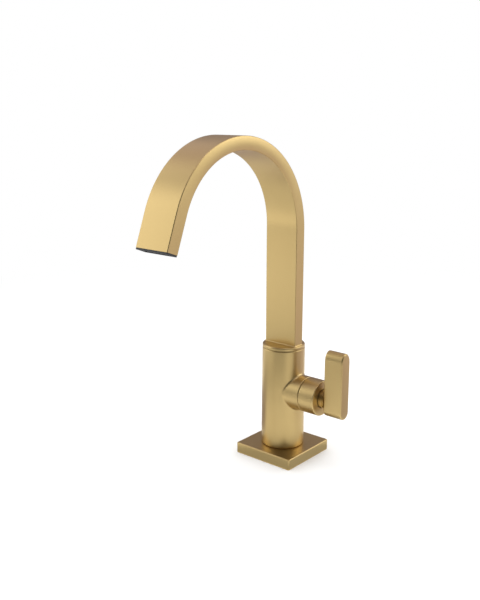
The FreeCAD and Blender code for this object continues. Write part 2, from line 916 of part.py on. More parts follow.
def aerator_screen():
    """Slotted plate behind the grid, with a rim that spaces the two."""
    width = window_width - 2 * slip_clearance
    thickness = window_thickness - 2 * slip_clearance
    plate = slab(width, thickness, strip_inner_round, screen_bottom, grid_bottom)
    hollow_width = width - 2 * screen_bar
    hollow_thickness = thickness - 2 * grid_bar
    hollow = slab(hollow_width, hollow_thickness, strip_inner_round, screen_top, grid_bottom)
    slot_length = thickness - 2 * screen_bar
    slot = Part.makeBox(screen_slot, slot_length, screen_thickness)
    slots = [
        slot.translated(FreeCAD.Vector(x - screen_slot / 2, -slot_length / 2, screen_bottom))
        for x in repeated(hollow_width, screen_slot, screen_bar)
    ]
    return placed(plate.cut([hollow] + slots), nose_frame)


def aerator_seal():
    """Band seal round the sleeve."""
    return placed(seal_channel(0), nose_frame)


pieces = [
    base_plate,
    deck_seal,
    body,
    spout_lock_screw,
    inlet_foot,
    inlet_seals,
    foot_o_ring,
    cartridge_base,
    port_seals,
    fixed_ceramic_disc,
    moving_ceramic_disc,
    disc_driver,
    cartridge_housing,
    cartridge_spindle,
    spindle_o_rings,
    cartridge_nut,
    cover_ring,
    handle_neck,
    handle_set_screw,
    handle_blade,
    glide_ring,
    spout_foot,
    spigot_o_rings,
    spout_tube,
    aerator_housing,
    aerator_grid,
    aerator_screen,
    aerator_seal,
]

os.makedirs("parts", exist_ok=True)
for piece in pieces:
    shape = piece()
    shape.exportStep(f"parts/{piece.__name__}.step")
    print(piece.__name__, len(shape.Solids), "solids", round(shape.Volume), "mm3", shape.isValid())
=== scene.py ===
"""Looks of a satin-gold basin mixer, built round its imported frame.

Lengths are metres in the frame of the solids: +Z is up, the lever lies towards +X and the spout
reaches towards -Y.
"""

import json
import logging
import math
from dataclasses import dataclass, field
from enum import Enum
from functools import cache
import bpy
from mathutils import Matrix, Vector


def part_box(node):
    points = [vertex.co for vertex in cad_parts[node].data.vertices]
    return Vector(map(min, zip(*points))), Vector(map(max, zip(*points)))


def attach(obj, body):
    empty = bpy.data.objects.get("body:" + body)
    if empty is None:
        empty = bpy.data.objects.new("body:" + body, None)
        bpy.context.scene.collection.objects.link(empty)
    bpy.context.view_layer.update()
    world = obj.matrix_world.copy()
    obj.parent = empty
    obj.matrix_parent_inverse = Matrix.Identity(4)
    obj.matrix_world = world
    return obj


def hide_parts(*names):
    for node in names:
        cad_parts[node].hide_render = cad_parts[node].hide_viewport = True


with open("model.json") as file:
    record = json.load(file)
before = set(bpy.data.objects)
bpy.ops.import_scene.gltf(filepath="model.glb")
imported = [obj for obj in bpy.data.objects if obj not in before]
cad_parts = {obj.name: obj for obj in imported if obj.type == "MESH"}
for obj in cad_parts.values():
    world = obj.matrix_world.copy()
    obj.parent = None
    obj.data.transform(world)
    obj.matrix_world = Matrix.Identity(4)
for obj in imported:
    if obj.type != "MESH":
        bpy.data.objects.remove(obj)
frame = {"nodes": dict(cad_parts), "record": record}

from types import MappingProxyType
from typing import Any, Iterable, Mapping, Sequence, Union

import bpy
from bpy.types import ID, Material, NodeSocket, NodeTree, Object, World
from mathutils import Euler, Vector

log = logging.getLogger("basin_mixer")

MM = 0.001
SMOOTH_ANGLE = math.radians(32)
QUARTER_TURN = math.pi / 2
# Points nearer than WELD become one, and numbers nearer than SAME_INDEX are the same index.
WELD = 0.001 * MM
SAME_INDEX = 0.5
# A Wave texture of scale 1 repeats after this length.
WAVE_PERIOD = math.pi / 10
NOISE_MEAN = 0.5
# The studio is a round room: its radius, two heights of its wall, and what lifts a card off its floor.
ROOM = 1.3
MID_WALL = 0.82
CEILING = 1.6
LIFT = 0.002

Colour = tuple[float, float, float]
WHITE_LIGHT: Colour = (1.0, 1.0, 1.0)
ROSE_LIGHT: Colour = (1.0, 0.89, 1.0)
Key = Union[str, int]
NOTHING: Mapping[Any, Any] = MappingProxyType({})


def added(name: str, data: ID) -> Object:
    """Add an object to the scene.

    Args:
        name: its name.
        data: its mesh, lamp or camera.

    Returns:
        The object, at the origin.
    """
    new = bpy.data.objects.new(name, data)
    bpy.context.scene.collection.objects.link(new)
    return new


class Body(Enum):
    """The bodies that move apart from each other."""

    FIXED = "fixed_body"
    SPOUT = "spout"
    LEVER = "lever"


class Slot(Enum):
    """The record's material slots, named beside each new piece."""

    GOLD = "satin_gold"
    BRASS = "raw_brass"
    BLACK_PLASTIC = "black_plastic"


class Axis(Enum):
    """The axis that a turned piece was made about."""

    LEVER = "X"
    SPOUT = "Z"


class Wire:
    """A node's output that takes part in Python arithmetic: each operator adds a Math node."""

    def __init__(self, tree: "Tree", socket: NodeSocket) -> None:
        """Keep the tree and the socket."""
        self.tree = tree
        self.socket = socket

    def __add__(self, other: "Number") -> "Wire":
        """Sum."""
        return self.tree.math("ADD", self, other)

    def __sub__(self, other: "Number") -> "Wire":
        """Difference."""
        return self.tree.math("SUBTRACT", self, other)

    def __rsub__(self, other: "Number") -> "Wire":
        """Difference, with the wire on the right."""
        return self.tree.math("SUBTRACT", other, self)

    def __mul__(self, other: "Number") -> "Wire":
        """Product."""
        return self.tree.math("MULTIPLY", self, other)

    def __truediv__(self, other: "Number") -> "Wire":
        """Quotient."""
        return self.tree.math("DIVIDE", self, other)

    def __rtruediv__(self, other: "Number") -> "Wire":
        """Quotient, with the wire on the right."""
        return self.tree.math("DIVIDE", other, self)

    def beside(self, key: Key) -> "Wire":
        """Another output of the same node."""
        return Wire(self.tree, self.tree.socket(self.socket.node.outputs, key))

    __radd__ = __add__
    __rmul__ = __mul__


Number = Union[Wire, float]


class Tree:
    """A node tree that is written as expressions."""

    def __init__(self, nodes: NodeTree) -> None:
        """Take the tree that the nodes go into."""
        self.nodes = nodes

    @staticmethod
    def socket(sockets: Iterable[NodeSocket], key: Key) -> NodeSocket:
        """Find a socket.

        Args:
            sockets: a node's inputs or outputs.
            key: the socket's identifier, its name or its number.

        Returns:
            The socket.
        """
        listed = list(sockets)
        if isinstance(key, int):
            return listed[key]
        by_identifier = [one for one in listed if one.identifier == key]
        return (by_identifier or [one for one in listed if one.name == key])[0]

    def node(
        self,
        kind: str,
        settings: Mapping[str, Any] = NOTHING,
        sockets: Mapping[Key, Any] = NOTHING,
        output: Key = 0,
    ) -> Wire:
        """Add a node.

        Args:
            kind: the node's type.
            settings: its properties, which are set first.
            sockets: values or wires for its inputs, with a list for an input that takes several.
            output: the output to hand back.

        Returns:
            That output, or the first input of a node that has no output.
        """
        node = self.nodes.nodes.new(kind)
        for name, value in settings.items():
            setattr(node, name, value)
        for key, value in sockets.items():
            socket = self.socket(node.inputs, key)
            for one in value if isinstance(value, list) else [value]:
                if isinstance(one, Wire):
                    self.nodes.links.new(one.socket, socket)
                else:
                    socket.default_value = one
        if not node.outputs:
            return Wire(self, self.socket(node.inputs, 0))
        return Wire(self, self.socket(node.outputs, output))

    def math(self, operation: str, *values: Number) -> Wire:
        """One Math node on values or wires."""
        return self.node("ShaderNodeMath", {"operation": operation}, dict(enumerate(values)))

    def limited(self, value: Number, low: Number, high: Number) -> Wire:
        """A value held between two others."""
        return self.math("MINIMUM", self.math("MAXIMUM", value, low), high)

    def vector(self, x: Number, y: Number, z: Number) -> Wire:
        """A vector from three values."""
        return self.node("ShaderNodeCombineXYZ", NOTHING, {"X": x, "Y": y, "Z": z})


class ShapeTree(Tree):
    """A Geometry Nodes tree with named sizes, which makes one plain mesh."""

    def __init__(self, name: str, sizes: Mapping[str, float]) -> None:
        """Start a tree.

        Args:
            name: the tree's name.
            sizes: the tree's inputs with their values.
        """
        super().__init__(bpy.data.node_groups.new(name, "GeometryNodeTree"))
        self.sizes = dict(sizes)
        face = self.nodes.interface
        face.new_socket("Geometry", in_out="OUTPUT", socket_type="NodeSocketGeometry")
        self.inputs: dict[str, str] = {}
        for label, value in self.sizes.items():
            kind = "NodeSocketInt" if isinstance(value, int) else "NodeSocketFloat"
            self.inputs[label] = face.new_socket(label, in_out="INPUT", socket_type=kind).identifier
        self.group = self.nodes.nodes.new("NodeGroupInput")

    def __getitem__(self, label: str) -> Wire:
        """The wire of a named size."""
        return Wire(self, self.socket(self.group.outputs, label))

    def position(self) -> tuple[Wire, Wire, Wire]:
        """The three coordinates of each point."""
        x = self.node("ShaderNodeSeparateXYZ", NOTHING, {0: self.node("GeometryNodeInputPosition")})
        return x, x.beside("Y"), x.beside("Z")

    def placed(self, shape: Wire, x: Number, y: Number, z: Number) -> Wire:
        """A shape whose points stand at new coordinates."""
        sockets = {"Geometry": shape, "Position": self.vector(x, y, z)}
        return self.node("GeometryNodeSetPosition", NOTHING, sockets)

    def joined(self, *shapes: Wire) -> Wire:
        """Several shapes as one."""
        return self.node("GeometryNodeJoinGeometry", NOTHING, {0: list(shapes)})

    def welded(self, shape: Wire) -> Wire:
        """A shape whose doubled points are one."""
        return self.node("GeometryNodeMergeByDistance", NOTHING, {"Geometry": shape, "Distance": WELD})

    def turned_over(self, shape: Wire) -> Wire:
        """A shape whose faces point the other way."""
        return self.node("GeometryNodeFlipFaces", NOTHING, {"Mesh": shape})

    def moved(self, shape: Wire, place: Any, turn: Any = (0, 0, 0)) -> Wire:
        """A shape turned about the origin and then moved."""
        sockets = {"Geometry": shape, "Translation": place, "Rotation": turn}
        return self.node("GeometryNodeTransform", NOTHING, sockets)

    def cut(self, shape: Wire, *tools: Wire) -> Wire:
        """A closed shape less other closed shapes."""
        settings = {"operation": "DIFFERENCE", "solver": "EXACT"}
        return self.node("GeometryNodeMeshBoolean", settings, {"Mesh 1": shape, "Mesh 2": list(tools)})

    def line(self, end: Any, points: Number) -> Wire:
        """A straight line from the origin, with points evenly along it."""
        line = self.node("GeometryNodeCurvePrimitiveLine", NOTHING, {"Start": (0, 0, 0), "End": end})
        return self.node("GeometryNodeResampleCurve", {"mode": "COUNT"}, {"Curve": line, "Count": points})

    def swept(self, path: Wire, outline: Wire, capped: bool = False) -> Wire:
        """An outline carried along a path."""
        sockets = {"Curve": path, "Profile Curve": outline, "Fill Caps": capped}
        return self.node("GeometryNodeCurveToMesh", NOTHING, sockets)

    def polygon(self, sides: int, radius: Number) -> Wire:
        """A closed outline in XY with equal sides."""
        sockets = {"Resolution": sides, "Radius": radius}
        return self.node("GeometryNodeCurvePrimitiveCircle", NOTHING, sockets)

    def rounded_outline(self, width: Number, height: Number, corner: Number, steps: int) -> Wire:
        """A closed rectangle in XY with round corners.

        Args:
            width: its size along X.
            height: its size along Y.
            corner: the radius of its corners.
            steps: how many short sides make a corner.

        Returns:
            The outline.
        """
        sides = {"Width": width, "Height": height}
        outline = self.node("GeometryNodeCurvePrimitiveQuadrilateral", {"mode": "RECTANGLE"}, sides)
        corners = {"Curve": outline, "Count": steps, "Radius": corner}
        return self.node("GeometryNodeFilletCurve", {"mode": "POLY"}, corners)

    def divided(self, outline: Wire, steps: int, cuts: Number) -> Wire:
        """A rounded outline with more points on its flats.

        Args:
            outline: the outline.
            steps: how many short sides make a corner.
            cuts: how many points a flat gets.

        Returns:
            The outline.
        """
        in_corner = self.math("MODULO", self.node("GeometryNodeInputIndex"), steps + 1)
        before_flat = self.math("COMPARE", in_corner, steps, SAME_INDEX)
        sockets = {"Curve": outline, "Cuts": before_flat * cuts}
        return self.node("GeometryNodeSubdivideCurve", NOTHING, sockets)

    def crowded(self, place: Wire, flat: Wire, draws: int = 2) -> Wire:
        """A place on a flat moved towards the flat's nearer end.

        Args:
            place: a coordinate along the flat.
            flat: half the flat's length.
            draws: how many times it is moved.

        Returns:
            The new coordinate, or the same one past the flat's ends.
        """
        share = self.limited(place / flat, -1.0, 1.0)
        past = place - share * flat
        for _ in range(draws):
            share = share * (2 - self.math("ABSOLUTE", share))
        return share * flat + past

    def piece(self, name: str, shape: Wire, material: Material) -> Object:
        """Make the mesh.

        Args:
            name: the piece's name.
            shape: the tree's last shape.
            material: what the piece is made of.

        Returns:
            An object at the origin with a plain mesh.
        """
        shape = self.node("GeometryNodeRealizeInstances", NOTHING, {"Geometry": shape})
        sockets = {"Geometry": shape, "Material": material}
        shape = self.node("GeometryNodeSetMaterial", NOTHING, sockets)
        self.node("NodeGroupOutput", NOTHING, {0: shape})
        maker = added(name + "_maker", bpy.data.meshes.new(name + "_maker"))
        modifier = maker.modifiers.new(name, "NODES")
        modifier.node_group = self.nodes
        for label, value in self.sizes.items():
            modifier[self.inputs[label]] = value
        shown = maker.evaluated_get(bpy.context.evaluated_depsgraph_get())
        mesh = bpy.data.meshes.new_from_object(shown)
        maker.modifiers.remove(modifier)
        bpy.data.objects.remove(maker)
        mesh.name = name
        mesh.shade_smooth()
        mesh.set_sharp_from_angle(angle=SMOOTH_ANGLE)
        return added(name, mesh)


class MaterialTree(Tree):
    """The nodes of one material, all on Object coordinates."""

    def __init__(self, name: str) -> None:
        """Start an empty material.

        Args:
            name: the material's name.
        """
        self.material = bpy.data.materials.new(name)
        self.material.use_nodes = True
        super().__init__(self.material.node_tree)
        self.nodes.nodes.clear()
        self.place = self.node("ShaderNodeTexCoord", output="Object")

    def noise(self, size: float, detail: float = 2.0, stretch: Sequence[float] = (1, 1, 1)) -> Wire:
        """Soft noise.

        Args:
            size: the width of its spots.
            detail: how many finer layers it has.
            stretch: how much denser it is along each axis.

        Returns:
            A value about NOISE_MEAN.
        """
        place = self.node("ShaderNodeMapping", NOTHING, {"Vector": self.place, "Scale": stretch})
        sockets = {"Vector": place, "Scale": 1 / size, "Detail": detail}
        return self.node("ShaderNodeTexNoise", NOTHING, sockets, "Fac")

    def blend(self, share: Number, first: Colour, second: Colour) -> Wire:
        """A colour between two."""
        sockets = {"Factor_Float": share, "A_Color": (*first, 1), "B_Color": (*second, 1)}
        return self.node("ShaderNodeMix", {"data_type": "RGBA"}, sockets, "Result_Color")

    def relief(self, height: Number, depth: float, strength: float) -> Wire:
        """A normal bent by a height."""
        sockets = {"Height": height, "Distance": depth, "Strength": strength}
        return self.node("ShaderNodeBump", NOTHING, sockets)

    def emission(self, colour: Colour, strength: float) -> Wire:
        """A surface that glows."""
        return self.node("ShaderNodeEmission", NOTHING, {"Color": (*colour, 1), "Strength": strength})

    def shade(self, sockets: Mapping[Key, Any]) -> Material:
        """The material with a Principled shader as its surface."""
        return self.close(self.node("ShaderNodeBsdfPrincipled", NOTHING, sockets))

    def close(self, surface: Wire) -> Material:
        """The material with a surface."""
        self.node("ShaderNodeOutputMaterial", NOTHING, {"Surface": surface})
        return self.material


@dataclass(frozen=True)
class SatinCoat:
    """Coated metal with a fine satin: tiny pits, and a slow drift of tone and gloss."""

    name: str = "satin_gold_coat"
    light: Colour = (0.58, 0.43, 0.19)
    deep: Colour = (0.53, 0.385, 0.165)
    roughness: float = 0.36
    gloss_drift: float = 0.05
    drift_size: float = 26 * MM
    pit_size: float = 0.14 * MM
    pit_detail: float = 3.0
    pit_depth: float = 0.004 * MM
    pit_strength: float = 0.35

    @cache
    def material(self) -> Material:
        """Build the material, once.

        Returns:
            The material.
        """
        tree = MaterialTree(self.name)
        drift = tree.noise(self.drift_size)
        pits = tree.noise(self.pit_size, self.pit_detail)
        both = drift - NOISE_MEAN + (pits - NOISE_MEAN)
        surface = {
            "Base Color": tree.blend(drift, self.deep, self.light),
            "Metallic": 1.0,
            "Roughness": both * self.gloss_drift + self.roughness,
            "Normal": tree.relief(pits, self.pit_depth, self.pit_strength),
        }
        return tree.shade(surface)


@dataclass(frozen=True)
class TurnedBrass:
    """Bare brass with the fine rings that a lathe tool leaves."""

    name: str
    axis: Axis
    light: Colour = (0.64, 0.46, 0.2)
    deep: Colour = (0.5, 0.34, 0.13)
    roughness: float = 0.3
    ring_pitch: float = 0.22 * MM
    ring_wobble: float = 0.6
    wobble_scale: float = 0.4
    ring_depth: float = 0.006 * MM
    ring_strength: float = 0.5
    stain_size: float = 9 * MM
    stain_detail: float = 4.0
    stain_gloss: float = 0.2

    @cache
    def material(self) -> Material:
        """Build the material, once.

        Returns:
            The material.
        """
        tree = MaterialTree(self.name)
        settings = {"wave_type": "BANDS", "bands_direction": self.axis.value}
        sockets = {
            "Vector": tree.place,
            "Scale": WAVE_PERIOD / self.ring_pitch,
            "Distortion": self.ring_wobble,
            "Detail Scale": self.wobble_scale,
        }
        rings = tree.node("ShaderNodeTexWave", settings, sockets, "Fac")
        stain = tree.noise(self.stain_size, self.stain_detail)
        surface = {
            "Base Color": tree.blend(stain, self.deep, self.light),
            "Metallic": 1.0,
            "Roughness": (stain - NOISE_MEAN) * self.stain_gloss + self.roughness,
            "Normal": tree.relief(rings, self.ring_depth, self.ring_strength),
        }
        return tree.shade(surface)


@dataclass(frozen=True)
class Moulded:
    """Moulded plastic or rubber with a fine matt skin and a faint cloudiness."""

    name: str
    light: Colour
    deep: Colour
    roughness: float
    grain_size: float
    grain_depth: float
    grain_detail: float = 3.0
    grain_strength: float = 0.6
    grain_gloss: float = 0.2
    cloud_grains: float = 40

    @cache
    def material(self) -> Material:
        """Build the material, once.

        Returns:
            The material.
        """
        tree = MaterialTree(self.name)
        grain = tree.noise(self.grain_size, self.grain_detail)
        cloud = tree.noise(self.grain_size * self.cloud_grains)
        surface = {
            "Base Color": tree.blend(cloud, self.deep, self.light),
            "Roughness": (grain - NOISE_MEAN) * self.grain_gloss + self.roughness,
            "Normal": tree.relief(grain, self.grain_depth, self.grain_strength),
        }
        return tree.shade(surface)


@dataclass(frozen=True)
class LappedCeramic:
    """Off-white ceramic, lapped nearly to a mirror, with a faint speckle."""

    name: str = "lapped_ceramic"
    light: Colour = (0.88, 0.87, 0.83)
    deep: Colour = (0.8, 0.79, 0.74)
    roughness: float = 0.12
    speck_size: float = 0.25 * MM
    speck_detail: float = 4.0
    speck_gloss: float = 0.1

    @cache
    def material(self) -> Material:
        """Build the material, once.

        Returns:
            The material.
        """
        tree = MaterialTree(self.name)
        specks = tree.noise(self.speck_size, self.speck_detail)
        surface = {
            "Base Color": tree.blend(specks, self.deep, self.light),
            "Roughness": specks * self.speck_gloss + self.roughness,
        }
        return tree.shade(surface)


@dataclass(frozen=True)
class DrawnSteel:
    """Stainless steel with fine lines along its length."""

    name: str = "drawn_steel"
    light: Colour = (0.58, 0.57, 0.55)
    deep: Colour = (0.42, 0.41, 0.4)
    roughness: float = 0.28
    line_size: float = 0.1 * MM
    line_detail: float = 3.0
    line_stretch: tuple[float, float, float] = (1.0, 0.05, 1.0)
    line_gloss: float = 0.16
    line_depth: float = 0.003 * MM
    line_strength: float = 0.4

    @cache
    def material(self) -> Material:
        """Build the material, once.

        Returns:
            The material.
        """
        tree = MaterialTree(self.name)
        lines = tree.noise(self.line_size, self.line_detail, self.line_stretch)
        surface = {
            "Base Color": tree.blend(lines, self.deep, self.light),
            "Metallic": 1.0,
            "Roughness": lines * self.line_gloss + self.roughness,
            "Normal": tree.relief(lines, self.line_depth, self.line_strength),
        }
        return tree.shade(surface)


Finish = Union[SatinCoat, TurnedBrass, Moulded, LappedCeramic, DrawnSteel]

GOLD = SatinCoat()
FOOT_BRASS = TurnedBrass("turned_brass_foot", Axis.SPOUT)
VALVE_BRASS = TurnedBrass("turned_brass_valve", Axis.LEVER)
BLACK = Moulded("black_moulding", (0.02, 0.02, 0.021), (0.013, 0.013, 0.014), 0.5, 0.18 * MM, 0.006 * MM)
WHITE = Moulded("white_moulding", (0.78, 0.77, 0.73), (0.72, 0.71, 0.66), 0.4, 0.2 * MM, 0.005 * MM)
RUBBER = Moulded("seal_rubber", (0.034, 0.034, 0.034), (0.02, 0.02, 0.021), 0.72, 0.3 * MM, 0.012 * MM)
CERAMIC = LappedCeramic()
STEEL = DrawnSteel()


@dataclass
class SubAssembly:
    """A group of pieces that are dressed together."""

    def dress(self, finish: Finish, *nodes: str) -> None:
        """Give solids of the frame a finish.

        Args:
            finish: what they are made of.
            nodes: their names.
        """
        for node in nodes:
            for slot in frame["nodes"][node].material_slots:
                slot.material = finish.material()
            log.info("dressed %s in %s", node, finish.name)

    def install(self, piece: Object, body: Body, slot: Slot, *replaced: str) -> None:
        """Fix a new piece to its body.

        Args:
            piece: the finished piece.
            body: the body that it moves with.
            slot: the record's slot for its finish; not used.
            replaced: the solids that it stands for.
        """
        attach(piece, body.value)
        if replaced:
            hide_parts(*replaced)
        log.info("built %s, %d faces", piece.name, len(piece.data.polygons))


@dataclass
class Base(SubAssembly):
    """Square plate on its rubber seal."""

    def build(self) -> None:
        """Dress the plate and its seal."""
        self.dress(GOLD, "base_plate")
        self.dress(RUBBER, "deck_seal")


@dataclass(frozen=True)
class Thread:
    """A right-hand metric thread in one of the record's holes."""

    hole: str
    radius: float
    pitch: float
    groove_share: float = 0.545
    groove_sides: int = 3
    runout: float = 0.6 * MM
    points_per_turn: int = 40

    def sizes(self) -> dict[str, float]:
        """The thread's inputs of a Geometry Nodes tree."""
        return {self.hole + " Radius": self.radius, self.hole + " Pitch": self.pitch}

    def cutters(self, tree: ShapeTree, mount: Mapping[str, Any]) -> list[Wire]:
        """The groove and the mouth's chamfer, as solids to cut away.

        Args:
            tree: the tree that they are made in.
            mount: the hole's entry in the record.

        Returns:
            A three-sided bar wound up the hole, and a cone at its mouth.
        """
        length = mount["dims"]["length_mm"] * MM
        mouth = Vector(mount["pos_m"]) + Vector(mount["axis"]) * length / 2
        radius, pitch = (tree[label] for label in self.sizes())
        groove = pitch * self.groove_share
        climb = pitch + length - self.runout
        # Reversed, the spiral climbs as a right-hand thread does.
        winding = {
            "Resolution": self.points_per_turn,
            "Rotations": climb / pitch,
            "Start Radius": radius - groove,
            "End Radius": radius - groove,
            "Height": climb,
            "Reverse": True,
        }
        helix = tree.node("GeometryNodeCurveSpiral", NOTHING, winding)
        helix = tree.node("GeometryNodeSetCurveNormal", {"mode": "Z_UP"}, {"Curve": helix})
        bar = tree.swept(helix, tree.polygon(self.groove_sides, groove), capped=True)
        chamfer = {
            "Vertices": self.points_per_turn,
            "Radius Bottom": radius + pitch,
            "Radius Top": radius - pitch,
            "Depth": 2 * pitch,
        }
        cone = tree.node("GeometryNodeMeshCone", NOTHING, chamfer)
        below = tree.vector(mouth.x, mouth.y, mouth.z - pitch)
        return [tree.moved(bar, below), tree.moved(cone, below)]


@dataclass
class Casting(SubAssembly):
    """Round body with the parts that hold the spout and the supplies."""

    threads: tuple[Thread, ...] = (
        Thread("inlet_cold", 5.0 * MM, 1.0 * MM),
        Thread("inlet_hot", 5.0 * MM, 1.0 * MM),
        Thread("fixing_stud", 4.0 * MM, 1.25 * MM),
    )

    def build(self) -> None:
        """Dress the body, its ring and its screw, and tap the holes in its foot."""
        self.dress(GOLD, "body")
        self.dress(BLACK, "glide_ring")
        self.dress(STEEL, "spout_lock_screw")
        self.dress(RUBBER, "inlet_seals", "foot_o_ring")
        self.install(self.threaded_foot(), Body.FIXED, Slot.BRASS, "inlet_foot")

    def threaded_foot(self) -> Object:
        """Tap the three holes of the brass plug.

        Returns:
            The plug with its threads.
        """
        mounts = {mount["name"]: mount for mount in frame["record"]["mounts"]}
        sizes: dict[str, float] = {}
        for thread in self.threads:
            sizes.update(thread.sizes())
        tree = ShapeTree("threaded_foot", sizes)
        solid = frame["nodes"]["inlet_foot"]
        plug = tree.node("GeometryNodeObjectInfo", NOTHING, {"Object": solid}, "Geometry")
        # The solid's mesh is loose triangles with normals of their own.
        normals = {"Geometry": plug, "Name": "custom_normal"}
        plug = tree.welded(tree.node("GeometryNodeRemoveAttribute", NOTHING, normals))
        cutters: list[Wire] = []
        for thread in self.threads:
            cutters += thread.cutters(tree, mounts[thread.hole])
        return tree.piece("threaded_foot", tree.cut(plug, *cutters), FOOT_BRASS.material())


@dataclass
class Cartridge(SubAssembly):
    """Ceramic valve in the side branch, behind its cover ring."""

    def build(self) -> None:
        """Dress the valve from its seat outwards."""
        self.dress(WHITE, "cartridge_base", "disc_driver")
        self.dress(CERAMIC, "fixed_ceramic_disc", "moving_ceramic_disc")
        self.dress(VALVE_BRASS, "cartridge_housing", "cartridge_spindle", "cartridge_nut")
        self.dress(RUBBER, "port_seals", "spindle_o_rings")
        self.dress(GOLD, "cover_ring")


@dataclass
class Lever(SubAssembly):
    """Flat blade on its round neck."""

    top_length: float = 8.0 * MM
    edge_round: float = 1.0 * MM
    edge_steps: int = 6
    edge_support: float = 0.2 * MM
    full_round: float = 0.998
    corner_steps: int = 14
    side_cuts: int = 7
    socket_radius: float = 4.55 * MM
    socket_gap: float = 0.05 * MM
    socket_sides: int = 64

    def build(self) -> None:
        """Shape the blade, and dress its neck and its screw."""
        self.dress(GOLD, "handle_neck")
        self.dress(STEEL, "handle_set_screw")
        self.install(self.blade(), Body.LEVER, Slot.GOLD, "handle_blade")

    def blade(self) -> Object:
        """Make the blade, whose top is drawn out to a longer curve than its bottom.

        Returns:
            The blade with the neck's socket.
        """
        low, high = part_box("handle_blade")
        neck_low, neck_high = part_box("handle_neck")
        half = high.y
        sizes = {
            "Half Thickness": half,
            "Depth": high.x - low.x,
            "Straight": high.z - self.top_length - low.z - half,
            "Top Length": self.top_length,
            "Edge Round": self.edge_round,
            "Edge Support": self.edge_support,
            "Socket Radius": self.socket_radius,
            "Socket Depth": neck_high.x - low.x + self.socket_gap,
        }
        tree = ShapeTree("lever_blade", sizes)
        bar = self.rounded(tree, tree.swept(self.edge_line(tree), self.outline(tree), capped=True))
        middle = (low.z + half + high.z - self.top_length) / 2
        bar = tree.moved(tree.welded(bar), (low.x, 0, middle))
        socket = {
            "Vertices": self.socket_sides,
            "Radius": tree["Socket Radius"],
            "Depth": 2 * tree["Socket Depth"],
        }
        rod = tree.node("GeometryNodeMeshCylinder", NOTHING, socket)
        axis = (neck_low.z + neck_high.z) / 2
        rod = tree.moved(rod, (low.x, 0, axis), (0, QUARTER_TURN, 0))
        return tree.piece("lever_blade", tree.cut(bar, rod), GOLD.material())

    def edge_line(self, tree: ShapeTree) -> Wire:
        """A line along Z as long as the blade is deep, with points crowded at both ends.

        Args:
            tree: the tree that it is made in.

        Returns:
            The line, with the points that the rounded edges need.
        """
        # At each end a round and one supporting step, which keeps the flat between them flat.
        last = 2 * (self.edge_steps + 1) + 1
        index = tree.node("GeometryNodeInputIndex")
        near = tree.math("MINIMUM", index, last - index)
        turn = tree.math("MINIMUM", near, self.edge_steps) / self.edge_steps * QUARTER_TURN
        place = tree["Edge Round"] * (1 - tree.math("COSINE", turn))
        place = place + tree.math("MAXIMUM", near - self.edge_steps, 0.0) * tree["Edge Support"]
        far_side = tree.math("GREATER_THAN", index, last / 2)
        place = place + far_side * (tree["Depth"] - 2 * place)
        return tree.placed(tree.line((0, 0, 1), last + 1), 0, 0, place)

    def outline(self, tree: ShapeTree) -> Wire:
        """The blade's outline seen along the lever's axis, with both ends full round.

        Args:
            tree: the tree that it is made in.

        Returns:
            A closed outline in XY, with points along its flats that crowd towards the ends.
        """
        half, straight = tree["Half Thickness"], tree["Straight"]
        corner = half * self.full_round
        outline = tree.rounded_outline(2 * half, straight + 2 * half, corner, self.corner_steps)
        x, y, _ = tree.position()
        on_side = tree.math("GREATER_THAN", tree.math("ABSOLUTE", x), half / 2)
        outline = tree.divided(outline, self.corner_steps, on_side * self.side_cuts)
        return tree.placed(outline, x, tree.crowded(y, straight / 2), 0)

    def rounded(self, tree: ShapeTree, bar: Wire) -> Wire:
        """A plain bar along Z with rounded edges and a longer top, laid along X.

        Args:
            tree: the tree that it is made in.
            bar: the plain bar.

        Returns:
            The blade about the middle of its flats.
        """
        half, edge, flat_end = tree["Half Thickness"], tree["Edge Round"], tree["Straight"] / 2
        across, up, along = tree.position()
        near = tree.math("MINIMUM", along, tree["Depth"] - along)
        short = tree.math("MAXIMUM", edge - near, 0.0)
        inset = edge - tree.math("SQRT", tree.math("MAXIMUM", edge * edge - short * short, 0.0))
        share = 1 - inset / half
        spine = tree.limited(up, 0 - flat_end, flat_end)
        past = (up - spine) * share
        longer = tree.math("MAXIMUM", past, 0.0) * (tree["Top Length"] / half - 1)
        return tree.placed(bar, along, across * share, spine + past + longer)


@dataclass(frozen=True)
class Bend:
    """The centre line of the spout: a straight riser, an arch and a straight nose."""

    riser: float = 97.05 * MM
    radius: float = 67.6 * MM
    turn: float = math.radians(159.25)
    nose: float = 26.1 * MM

    def end(self, foot: float) -> Vector:
        """Find the outlet.

        Args:
            foot: the height where the riser starts.

        Returns:
            The centre of the outlet.
        """
        y = -self.radius * (1 - math.cos(self.turn)) - self.nose * math.sin(self.turn)
        z = foot + self.riser + self.radius * math.sin(self.turn) + self.nose * math.cos(self.turn)
        return Vector((0, y, z))


